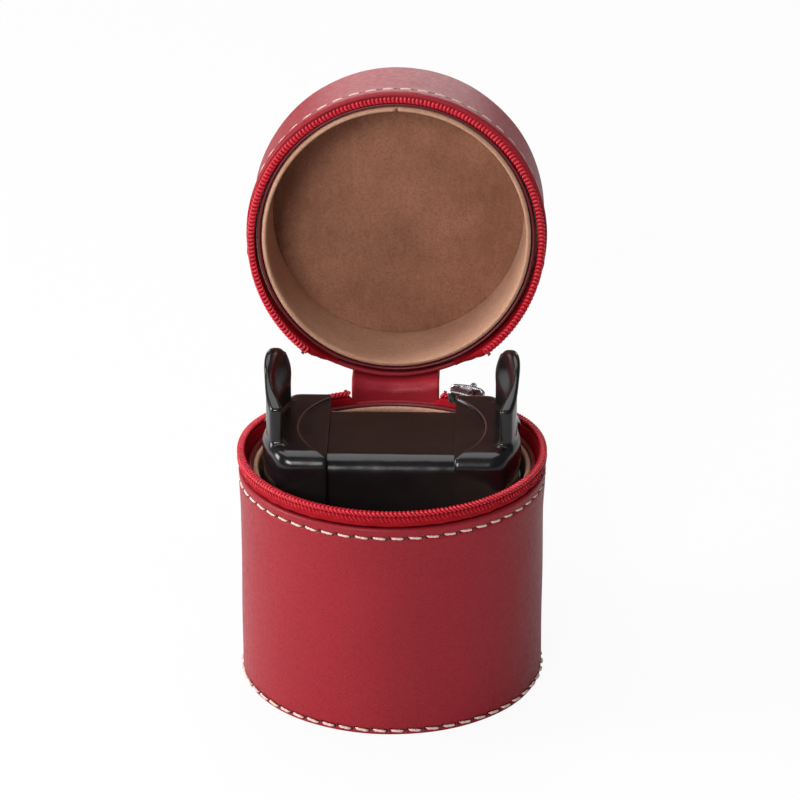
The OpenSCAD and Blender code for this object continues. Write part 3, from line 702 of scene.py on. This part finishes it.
def strip_path(t, s):
    """Distance back, height and turn of the strip's middle line at angle t.

    s from 0 to 1 climbs the base, from 1 to 2 turns through the opening angle on a bend of fixed radius, and from
    2 to 3 runs along the lid. The bend touches both walls' lines, whose corner is the opening's half angle up.
    """
    behind = strip_r * np.cos(t)
    corner = (hinge_y - behind) * math.tan(open_angle / 2)
    tangent = strip_bend * math.tan(open_angle / 2)
    turn = np.clip((s - 1) * open_angle, 0, open_angle)
    run = np.clip(s - 2, 0, 1) * (strip_len + corner - tangent)
    y = behind + strip_bend * (1 - np.cos(turn)) + run * math.sin(open_angle)
    up = np.clip(s, 0, 1) * (strip_len + corner - tangent)
    z = plane_z - strip_len + up + strip_bend * np.sin(turn) + run * math.cos(open_angle)
    return y, z, turn


def bent_strip(name):
    """The strip's two faces and rounded edges, off its middle line, thinned at both ends and creased in the bend."""
    edge = np.linspace(0, math.pi, 9)[1:-1]
    flat = np.linspace(-0.96, 0.96, 30)
    across = np.concatenate([flat, 0.96 + 0.04 * np.sin(edge), flat[::-1], -0.96 - 0.04 * np.sin(edge)])[None, :]
    side = np.concatenate([np.ones(30), np.cos(edge), -np.ones(30), -np.cos(edge)])[None, :]
    s = np.unique(np.concatenate([np.linspace(0, 3, 64), np.linspace(0, 0.05, 7), np.linspace(2.95, 3, 7)]))[:, None]
    t = across * strip_half
    y, z, turn = strip_path(t, s)
    end = np.clip(np.minimum(s, 3 - s) * strip_len / 0.5, 0, 1)
    thin = 0.35 + 0.65 * np.sqrt(1 - (1 - end) ** 2)
    off = side * strip_t / 2 * thin + 0.10 * np.sin(2 * turn) * np.sin(9 * across + 1)
    x = -(strip_r + off) * np.sin(t)
    points = np.stack(np.broadcast_arrays(x, y + off * np.cos(t) * np.cos(turn), z - off * np.sin(turn)), -1)
    return add_mesh(name, points * 0.001, (False, True), True)


piece = bent_strip("hinge_strip")
piece.data.materials.append(red_leather)
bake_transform(piece)
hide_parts("base_hinge_leather", "lid_hinge_leather")


def patch_stitches(name, place):
    """Stitches 1.6 mm inside the edges of one half's patch: two short sides and the long edge between them."""
    s, high, off = capsule()
    reach = math.degrees(strip_half) - patch_row_turn
    side, down = np.full(patch_down, reach), patch_top + patch_step * np.arange(patch_down)
    edge = np.linspace(-reach + patch_row_turn, reach - patch_row_turn, patch_across)
    depth = np.concatenate([down, np.full(patch_across, strip_len - patch_row), down])[:, None, None]
    angle = np.concatenate([-side, edge, side])[:, None, None]
    flat = np.concatenate([0 * side, 0 * edge + 1, 0 * side])[:, None, None]
    surface = strip_r + strip_t / 2
    t = np.radians(angle) + (flat * patch_stitch * s - (1 - flat) * off) / surface
    d = depth + flat * off + (1 - flat) * patch_stitch * s
    return add_mesh(name, place(t, surface + high, d), (False, True), True, capsule_uv)


finish_piece(patch_stitches("base_patch_stitches", at_base), thread, "base", "thread")
finish_piece(patch_stitches("lid_patch_stitches", at_lid), thread, "lid", "thread")

# ---------------------------------------------------------------- cuff
# Glossy black moulded plastic. Each form is a rough blank of even quads, slid onto the zero surface of a distance
# field that is put together from simple solids with rounded joins.
shoulder_r, shoulder_half, shoulder_heel, shoulder_foot, shoulder_top = 33.3, 18.6, 3.4, 20.0, 68.6
groove_half, cavity_end, core_end = 16.0, 26.8, 23.4
core_half, core_low, core_top, core_wall, web_face = 16.3, 22.25, 66.6, 1.8, 1.5
rod_z, boss_r, boss_start = 61.0, 3.4, 18.4
core_bore_r, bore_r, clip_room_r, clip_room_at = 1.51, 1.55, 5.0, 28.1
cap_seat_r, cap_seat_at = 7.7, 31.7
ear_top, lobe_r, lobe_y = 86.8, 9.0, 5.2
ear_in, ear_out, ear_front, ear_back, ear_step, ear_root = 29.5, 32.5, 12.0, 14.2, 78.2, 3.0
neck_x, neck_step, neck_lean = 31.7, 79.2, 6.0
thumb_at, thumb_r = (13.5, 1.2, 80.8), 17.7
dish_r, dish_z = 23.7, 67.8


def meet(a, b, k):
    """Field of what two solids share, its edge rounded over k."""
    h = np.clip(0.5 + 0.5 * (a - b) / k, 0, 1)
    return b + (a - b) * h + k * h * (1 - h)


def join(a, b, k):
    """Field of two solids together, their corner filled over k."""
    return -meet(-a, -b, k)


def rounded_box(a, b, half_a, half_b, radius):
    """Field of a rounded rectangle: distance past its straight sides, or past the circles at its corners."""
    q = np.stack([np.abs(a) - half_a + radius, np.abs(b) - half_b + radius], -1)
    return np.hypot(*np.maximum(q, 0).T) + np.minimum(q.max(-1), 0) - radius


def drum(p, half, low, top, round_top, round_low):
    """Field of a long drum along x whose section has different roundings above and below."""
    middle, tall = (low + top) / 2, (top - low) / 2
    return rounded_box(p[:, 1], p[:, 2] - middle, half, tall, np.where(p[:, 2] > middle, round_top, round_low))


def past_line(y, z, a, b):
    """Distance to the left of the line from a to b in the y-z plane."""
    run, rise = b[0] - a[0], b[1] - a[1]
    return (run * (z - a[1]) - rise * (y - a[0])) / math.hypot(run, rise)


def ear_field(p):
    """Field of an ear: a ring's piece cut to its outline, flat outside its stem, with a hollow for a fingertip."""
    x, y, z = p.T
    lobe_z = ear_top - lobe_r
    slope_y, slope_z = 0.8 * lobe_r, lobe_z + 0.6 * lobe_r
    front = past_line(y, z, (-ear_front, ear_step), (lobe_y - slope_y, slope_z))
    back = past_line(y, z, (lobe_y + slope_y, slope_z), (ear_back, ear_step))
    stem = meet(meet(-ear_front - y, front, 0.8), meet(y - ear_back, back, 0.8), 0.8)
    outline = join(np.hypot(y - lobe_y, z - lobe_z) - lobe_r, meet(stem, z - slope_z, 0.4), 1.0)
    plate = np.abs(np.hypot(x, y) - (ear_in + ear_out) / 2) - (ear_out - ear_in) / 2
    plate = meet(plate, x - neck_x - np.maximum(z - neck_step, 0) / neck_lean, 0.5)
    thumb = np.sqrt(((p - thumb_at) ** 2).sum(-1)) - thumb_r
    return meet(meet(meet(outline, plate, 1.1), -thumb, 0.8), shoulder_top - ear_root - z, 0.2)


def shoulder_field(p):
    """Field of the right-hand shoulder with its ear, dish, cavity, bore and cap seat."""
    x, y, z = p.T
    ring = np.hypot(x, y)
    heel = shoulder_heel / 2
    body = drum(p - (0, heel, 0), shoulder_half + heel, shoulder_foot, shoulder_top, 4.0, 1.5)
    body = meet(meet(body, ring - shoulder_r, 2.6), groove_half - x, 0.9)
    body = meet(body, -np.maximum(ring - dish_r, dish_z - z), 0.5)
    solid = join(body, np.where(x > 0, ear_field(p), 99), 1.2)
    cavity = meet(drum(p, core_half + 0.25, core_low - 0.25, core_top + 0.25, 4.75, 12.25), x - cavity_end, 0.3)
    axis = np.hypot(y, z - rod_z)
    boss = np.maximum(axis - boss_r, boss_start - x)
    hollow = np.maximum(cavity, -boss)
    bore = np.minimum(axis - bore_r, np.maximum(axis - clip_room_r, clip_room_at - x))
    seat = np.maximum(axis - cap_seat_r, cap_seat_at - x)
    return meet(solid, -np.minimum(np.minimum(hollow, bore), seat), 0.3)


def core_field(p):
    """Field of the core: a hollow drum with a web in its middle."""
    outer = meet(drum(p, core_half, core_low, core_top, 4.5, 12), np.abs(p[:, 0]) - core_end, 0.5)
    inner = drum(p, core_half - core_wall, core_low + core_wall, core_top - core_wall, 2.7, 10.2)
    inner = np.maximum(inner, web_face - np.abs(p[:, 0]))
    bore = np.hypot(p[:, 1], p[:, 2] - rod_z) - core_bore_r
    return np.maximum(meet(outer, -inner, 0.3), -bore)


def moulded(name, blank, field, pitch, flip=1):
    """Remeshes a copy of a CAD node into even quads and slides them onto the field. flip -1 mirrors it in x.

    Each step moves a point along the field's slope by its value there over the slope's square.
    """
    rough = new_object(name + "_blank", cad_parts[blank].data.copy())
    step = rough.modifiers.new("even", "REMESH")
    step.mode, step.voxel_size = "VOXEL", pitch * 0.001
    ready = rough.evaluated_get(bpy.context.evaluated_depsgraph_get())
    mesh = bpy.data.meshes.new_from_object(ready)
    bpy.data.objects.remove(rough)
    p = np.empty(len(mesh.vertices) * 3)
    mesh.vertices.foreach_get("co", p)
    p = p.reshape(-1, 3) * 1000 * (flip, 1, 1)
    near = 0.02
    for _ in range(7):
        value = field(p)
        slope = np.stack([(field(p + h) - field(p - h)) / (2 * near) for h in np.eye(3) * near], -1)
        size = np.maximum((slope ** 2).sum(-1), 0.2)
        p = p - np.clip(value / size, -pitch, pitch)[:, None] * slope
    mesh.vertices.foreach_set("co", (p * (flip, 1, 1) * 0.001).astype(np.float32).ravel())
    mesh.polygons.foreach_set("use_smooth", np.ones(len(mesh.polygons), bool))
    mesh.materials.clear()
    mesh.name = name
    mesh.update()
    return new_object(name, mesh)


def black_plastic():
    """Glossy black with smears, dust, shallow waves, and a painted highlight line along the dish's edge."""
    made, tree = new_material("black_plastic")
    place = node(tree, "TexCoord").outputs["Object"]
    peel, sink = noise(tree, place, 420, 2), noise(tree, place, 130, 1)
    dust, smear = noise(tree, place, 2400, 4, 0.7), noise(tree, place, 90, 4, 0.6)
    tone = blend_colour(tree, span(tree, smear, 0.35, 0.7), (0.006, 0.005, 0.006, 1), (0.010, 0.008, 0.009, 1))
    tone = blend_colour(tree, span(tree, dust, 0.66, 0.8, 0.0, 0.15), tone, (0.08, 0.06, 0.06, 1))
    level = node(tree, "VectorMath", {"operation": "MULTIPLY"}, n0=place, n1=(1000, 1000, 0)).outputs[0]
    ring = node(tree, "VectorMath", {"operation": "LENGTH"}, n0=level).outputs["Value"]
    past = node(tree, "Math", {"operation": "SUBTRACT"}, n0=ring, n1=dish_r + 0.22).outputs[0]
    off_edge = node(tree, "Math", {"operation": "ABSOLUTE"}, n0=past).outputs[0]
    top = span(tree, node(tree, "SeparateXYZ", n0=place).outputs["Z"], 0.0680, 0.0683)
    # A painted highlight line round the dish's edge, on the top faces only.
    painted_highlight = times(tree, span(tree, off_edge, 0.08, 0.2, 0.8, 0.0), top)
    tone = blend_colour(tree, painted_highlight, tone, (0.11, 0.05, 0.05, 1))
    gloss = span(tree, smear, 0.3, 0.7, 0.16, 0.26)
    shade(tree, tone, gloss, add_share(tree, peel, 0.05, sink), 0.0004, 0.5, **{"IOR": 1.43})
    return made


plastic = black_plastic()
piece = moulded("right_shoulder_shell", "shoulder_right", shoulder_field, 0.36)
finish_piece(piece, plastic, "right_shoulder", "black_plastic", "shoulder_right")
piece = moulded("left_shoulder_shell", "shoulder_left", shoulder_field, 0.36, -1)
finish_piece(piece, plastic, "left_shoulder", "black_plastic", "shoulder_left")
piece = moulded("core_drum", "cuff_core", core_field, 0.40)
finish_piece(piece, plastic, "cuff", "black_plastic", "cuff_core")
repaint(plastic, "cuff_tray", "rod_cap_left", "rod_cap_right")

# ---------------------------------------------------------------- zip stops, rod and springs
# Bright plated steel with fine scratches, and darker spring wire.
spring_r, spring_wire, spring_turns = 2.3, 0.45, 9
spring_room, squeeze = 0.3, 3.0
spring_from, spring_free = web_face + spring_room, boss_start - web_face - 2 * spring_room


def metal(name, dull, bright, low, high, size):
    """Drawn metal: streaks of two tones that also vary the roughness."""
    made, tree = new_material(name)
    place = node(tree, "TexCoord").outputs["Object"]
    drawn = node(tree, "VectorMath", {"operation": "MULTIPLY"}, n0=place, n1=size).outputs[0]
    scratch = noise(tree, drawn, 1, 4)
    tone = blend_colour(tree, span(tree, scratch, 0.35, 0.7), dull, bright)
    shade(tree, tone, span(tree, scratch, 0.3, 0.7, low, high), scratch, 0.000005, 0.4, **{"Metallic": 1.0})
    return made


steel = metal("steel", (0.42, 0.42, 0.44, 1), (0.62, 0.62, 0.64, 1), 0.20, 0.36, (300, 2600, 900))
spring_steel = metal("spring_steel", (0.30, 0.30, 0.32, 1), (0.50, 0.50, 0.52, 1), 0.30, 0.42, (800, 800, 800))
repaint(steel, "base_zip_stops", "lid_zip_stops", "guide_rod", "rod_clips")


def spring_coil(name, side):
    """Wire carried along a helix on the rod, from the core's web to the shoulder's boss."""
    a = np.linspace(0, 1, 24 * spring_turns + 1)[:, None]
    turn = 2 * math.pi * spring_turns * a
    b = full_turn(10)[None, :]
    r = spring_r + spring_wire * np.cos(b)
    x = spring_from + spring_wire + (spring_free - 2 * spring_wire) * a + spring_wire * np.sin(b)
    points = np.stack([side * x, r * np.cos(turn), rod_z + r * np.sin(turn)], -1)
    return add_mesh(name, points * 0.001, (False, True), True)


for half, side in (("left", -1), ("right", 1)):
    piece = spring_coil(half + "_spring_wire", side)
    finish_piece(piece, spring_steel, "cuff", "spring_steel", "spring_" + half)
    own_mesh(piece)

# ---------------------------------------------------------------- slider and bail
# Cast and plated: two curved plates joined by a post, the outer one shield-shaped with a sunk face, and an arch
# bent from thick wire. Both are slid onto fields in the slider's own frame, x along the radius and y along the rim.
park_angle = math.radians(28.163)
plate_at, plate_half_t, plate_half_l, plate_half_w = 40.35, 0.5, 5.06, 2.4
inner_at, inner_half_l, inner_half_w = 36.65, 4.05, 1.8
post_half, post_low = 1.54, 0.2
face_inset, face_sunk = 0.75, 0.16
bar_x, bar_r, bar_half, bail_foot = 43.05, 0.6, 3.4, 40.87


def at_slider(x, y, z):
    """Metres of a point in the slider's frame."""
    c, s = math.sin(park_angle), math.cos(park_angle)
    return np.stack(np.broadcast_arrays(c * x - s * y, s * x + c * y, plane_z + z), -1) * 0.001


def slider_view(p):
    """The slider frame's x, y and z of points in millimetres."""
    c, s = math.sin(park_angle), math.cos(park_angle)
    return c * p[:, 0] + s * p[:, 1], c * p[:, 1] - s * p[:, 0], p[:, 2] - plane_z


def slider_field(p):
    """Field of the slider: two plates bent round the case and the post between them."""
    x, y, z = slider_view(p)
    r, along = np.hypot(x, y), np.arctan2(y, x) * plate_at
    shield = rounded_box(along, z, plate_half_l, plate_half_w - 0.5 * ease(along, 0, plate_half_l), 1.5)
    outer = meet(shield, np.abs(r - plate_at) - plate_half_t, 0.4)
    outer = meet(outer, -np.maximum(shield + face_inset, plate_at + plate_half_t - face_sunk - r), 0.15)
    inner = rounded_box(along, z, inner_half_l, inner_half_w, 1.2)
    inner = meet(inner, np.abs(r - inner_at) - plate_half_t, 0.4)
    post = np.maximum(np.abs(r - (plate_at + inner_at) / 2) - (plate_at - inner_at) / 2, np.abs(along) - post_half)
    post = np.maximum(post, np.maximum(post_low - z, z - inner_half_w))
    return join(np.minimum(outer, inner), post, 0.25)


def bail_field(p):
    """Field of the bail: wire of round section along an arch with rounded corners, open towards the slider."""
    x, y, z = slider_view(p)
    bend = 1.0
    q = np.stack([np.abs(y) - bar_half + bend, x - bar_x + bend], -1)
    arch = np.hypot(*np.maximum(q, 0).T) + np.minimum(q.max(-1), 0) - bend
    return meet(np.hypot(arch, z) - bar_r, bail_foot - x, 0.1)


piece = moulded("slider_body", "zip_slider", slider_field, 0.14)
finish_piece(piece, steel, "slider", "steel", "zip_slider")
piece = moulded("slider_bail", "zip_bail", bail_field, 0.14)
finish_piece(piece, steel, "slider", "steel", "zip_bail")

# ---------------------------------------------------------------- pull
# A wire ring round the bail's bar carries an eyelet set in a leather tab: two layers of the red leather, glued and
# sewn round their edge.
ring_wire, ring_bend, ring_drop = 0.5, 1.5, 5.0
eye_r, eye_rim, eye_half, eye_drop = 1.3, 0.9, 0.85, 6.75
tab_l, tab_w, tab_t = 25.0, 6.5, 1.5
tab_row, tab_bare, tab_stitches, tab_stitch = 1.15, 3.5, 15, 0.85


def wire_ring(name):
    """Round wire along a long ring: a half circle over the bar and another below it."""
    a = np.concatenate([np.linspace(0, math.pi, 28), np.linspace(math.pi, 2 * math.pi, 28)])[:, None]
    drop = np.concatenate([np.zeros(28), np.full(28, ring_drop)])[:, None]
    b = full_turn(14)[None, :]
    far = ring_bend + ring_wire * np.cos(b)
    return add_mesh(name, at_slider(bar_x + far * np.cos(a), ring_wire * np.sin(b), far * np.sin(a) - drop))


def grommet(name):
    """A ring of flattened round section through the tab."""
    a = full_turn(64)[:, None]
    b = full_turn(24)[None, :]
    far = eye_r + eye_rim / 2 + eye_rim / 2 * np.cos(b)
    high = eye_half * np.sign(np.sin(b)) * np.abs(np.sin(b)) ** 0.55
    return add_mesh(name, at_slider(bar_x + high, far * np.cos(a), far * np.sin(a) - eye_drop))


def tab_field(p):
    """Field of the tab: a long rounded plate with its eyelet's hole, pressed in along its stitches."""
    x, y, z = slider_view(p)
    half = (tab_l - tab_w) / 2
    outline = np.hypot(y, np.maximum(np.abs(z + eye_drop + half) - half, 0)) - tab_w / 2
    groove = 0.13 * np.exp(-((outline + tab_row) / 0.45) ** 2) - 0.06 * np.exp(-((outline + 0.35) / 0.2) ** 2)
    plate = np.abs(x - bar_x) - tab_t / 2 + groove
    return meet(meet(outline, plate, 0.6), eye_r + eye_rim + 0.02 - np.hypot(y, z + eye_drop), 0.3)


def tab_seam(name, side):
    """Stitches down one edge of the tab, round its end and up the other edge, on its outer or inner face."""
    s, high, off = capsule()
    bend, straight = tab_w / 2 - tab_row, tab_l - tab_w - tab_bare
    whole = 2 * straight + math.pi * bend
    along = (np.arange(tab_stitches) + 0.5)[:, None, None] * whole / tab_stitches + tab_stitch * s * side
    a = np.clip((along - straight) / bend, 0, math.pi)
    beyond = np.maximum(along - straight - math.pi * bend, 0)
    y = -(bend + off) * np.cos(a)
    z = -eye_drop - tab_l + tab_w - (bend + off) * np.sin(a) + np.maximum(straight - along, 0) + beyond
    return add_mesh(name, at_slider(bar_x + side * (tab_t / 2 - 0.1 + 0.7 * high), y, z), (False, True), True,
                    capsule_uv)


finish_piece(wire_ring("ring_wire"), steel, "pull", "steel", "pull_ring")
finish_piece(grommet("eyelet_grommet"), steel, "pull", "steel", "pull_eyelet")
piece = moulded("tab_leather", "pull_tab", tab_field, 0.2)
finish_piece(piece, red_leather, "pull", "red_leather", "pull_tab")
finish_piece(tab_seam("tab_outer_stitches", 1), thread, "pull", "thread")
finish_piece(tab_seam("tab_inner_stitches", -1), thread, "pull", "thread")

# ---------------------------------------------------------------- stage and light
# A pale floor that runs out into a white backdrop, soft boxes on the left and in front, a large one overhead and
# a low one behind, which skims the lid.
floor_half = 3
floor = new_object("floor", bpy.data.meshes.new("floor"))
corners = [(x * floor_half, y * floor_half, 0) for x, y in ((-1, -1), (1, -1), (1, 1), (-1, 1))]
floor.data.from_pydata(corners, [], [(0, 1, 2, 3)])


def lit_paper():
    """Pale paper that the camera sees as almost white, with only a faint shadow on it."""
    made, tree = new_material("paper")
    shader = tree.nodes["Principled BSDF"]
    shader.inputs["Base Color"].default_value = (0.72, 0.72, 0.72, 1)
    shader.inputs["Roughness"].default_value = 0.9
    glow = node(tree, "Emission", Color=(1, 1, 1, 1), Strength=1.0)
    share = times(tree, node(tree, "LightPath").outputs["Is Camera Ray"], 0.93)
    mixed = node(tree, "MixShader", n0=share, n1=shader.outputs[0], n2=glow.outputs[0]).outputs[0]
    tree.links.new(mixed, tree.nodes["Material Output"].inputs["Surface"])
    return made


floor.data.materials.append(lit_paper())

world = bpy.data.worlds.new("backdrop")
world.use_nodes = True
world.node_tree.nodes["Background"].inputs["Color"].default_value = (1, 1, 1, 1)
world.node_tree.nodes["Background"].inputs["Strength"].default_value = 0.14
bpy.context.scene.world = world
bpy.context.scene.view_settings.view_transform = "Standard"


def soft_box(name, at, aim, wide, high, watts):
    """A rectangular area light at one point, facing another."""
    lamp = new_object(name, bpy.data.lights.new(name, "AREA"))
    lamp.data.shape = "RECTANGLE"
    lamp.data.size, lamp.data.size_y = wide, high
    lamp.data.energy = watts
    lamp.location = at
    lamp.visible_camera = False
    back = np.array(at) - np.array(aim)
    lamp.rotation_euler = (math.atan2(math.hypot(back[0], back[1]), back[2]), 0, math.atan2(back[0], -back[1]))


middle = (0, 0.02, 0.07)
soft_box("left_light", (-0.95, -0.08, 0.38), middle, 0.45, 0.45, 9.5)
soft_box("front_light", (-0.30, -1.05, 0.60), middle, 0.35, 0.35, 8.5)
soft_box("top_light", (-0.1, 0.15, 0.85), middle, 0.7, 0.7, 4.5)
soft_box("back_light", (0, 1.3, 0.42), (0, 0.06, 0.10), 1.0, 0.5, 5)
